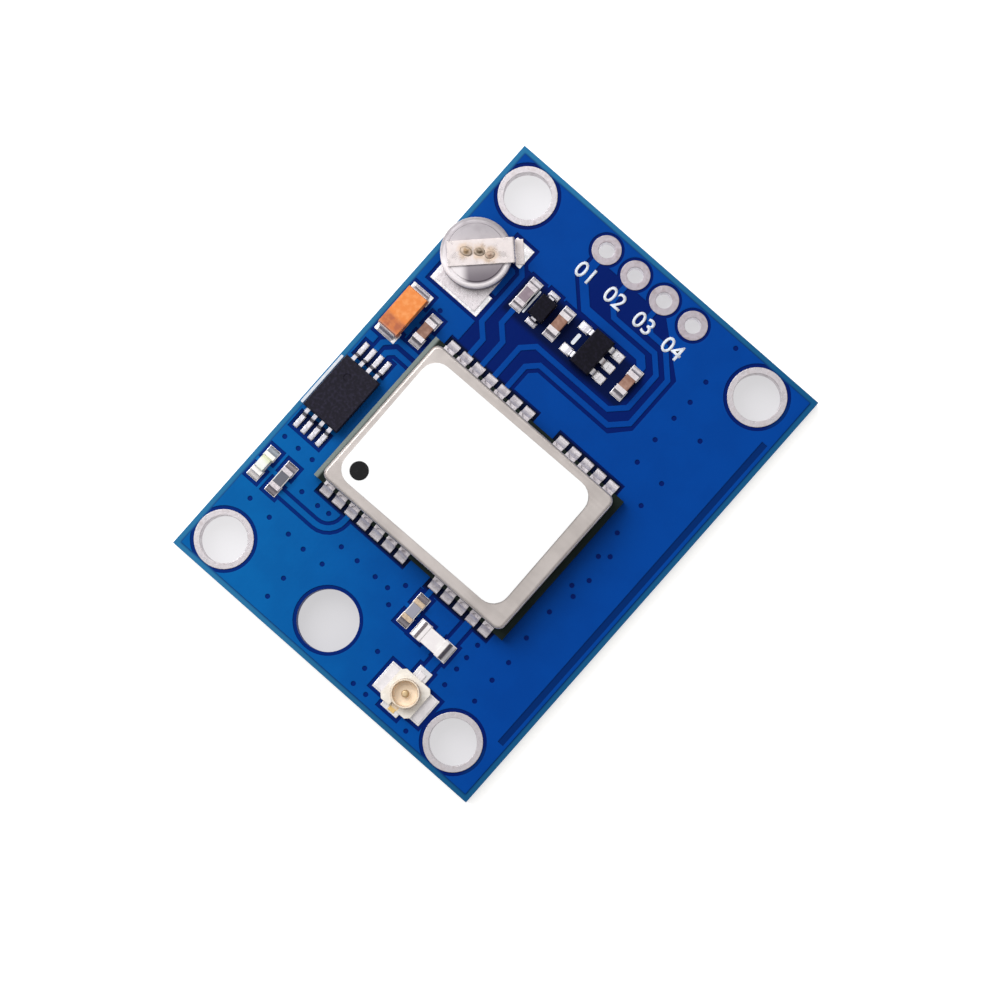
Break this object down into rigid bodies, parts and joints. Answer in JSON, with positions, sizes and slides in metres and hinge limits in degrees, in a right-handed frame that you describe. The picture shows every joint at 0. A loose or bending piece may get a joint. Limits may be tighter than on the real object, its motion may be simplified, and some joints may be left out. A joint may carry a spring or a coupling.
{
  "type": "satellite positioning receiver module",
  "caption": "Satellite positioning module: blue carrier board with a shielded castellated receiver, backup cell, supply parts, memory chip, lamp and push-fit coaxial antenna socket.",
  "frame": {"origin": "middle of the carrier board's flat underside", "axes": "+X across the board's short side, +Y along its long side towards the header holes, +Z out of the side with the parts"},
  "size_m": [0.026, 0.0354, 0.0042],
  "materials": {
    "board_mask": "glossy solder mask over bare laminate",
    "copper_mask": "glossy solder mask over copper",
    "tin": "tinned, softly bright",
    "receiver_laminate": "glossy green solder mask",
    "can_sheet": "satin nickel silver sheet",
    "label_stock": "matt white label",
    "black_ink": "matt printed ink",
    "black_moulding": "fine matt moulding compound",
    "ceramic_dark": "matt fired ceramic",
    "ceramic_brown": "matt fired ceramic",
    "ceramic_white": "matt fired ceramic",
    "coat_black": "glassy over-coat",
    "tantalum_case": "satin moulded case",
    "cell_steel": "bright pressed steel",
    "gold_plate": "gold plated",
    "socket_moulding": "cream moulding",
    "lamp_case": "white moulding",
    "lamp_clear": "clear yellowish casting"
  },
  "bodies": {
    "root": {"circuit_board": "board_mask", "masked_copper": "copper_mask", "mounting_hole_platings": "tin", "header_hole_platings": "tin", "solder_lands": "tin", "receiver_board": "receiver_laminate", "castellated_pads": "tin", "receiver_solder_joints": "tin", "shield_can": "can_sheet", "receiver_label": "label_stock", "first_pad_dot": "black_ink", "receiver_chip": "black_moulding", "clock_oscillator": "ceramic_dark", "oscillator_lid": "gold_plate", "band_filter": "ceramic_white", "cell_can": "cell_steel", "cell_top_strap": "cell_steel", "cell_base_strap": "cell_steel", "tantalum_body": "tantalum_case", "tantalum_terminals": "tin", "capacitor_bodies": "ceramic_brown", "capacitor_ends": "tin", "resistor_cores": "ceramic_white", "resistor_coats": "coat_black", "resistor_ends": "tin", "inductor_body": "ceramic_white", "inductor_ends": "tin", "lamp_base": "lamp_case", "lamp_lens": "lamp_clear", "lamp_ends": "tin", "chip_solder_joints": "tin", "memory_body": "black_moulding", "memory_leads": "tin", "regulator_body": "black_moulding", "regulator_leads": "tin", "diode_body": "black_moulding", "diode_leads": "tin", "socket_base": "socket_moulding", "socket_ring": "gold_plate", "socket_pin": "gold_plate"}
  },
  "joints": []
}
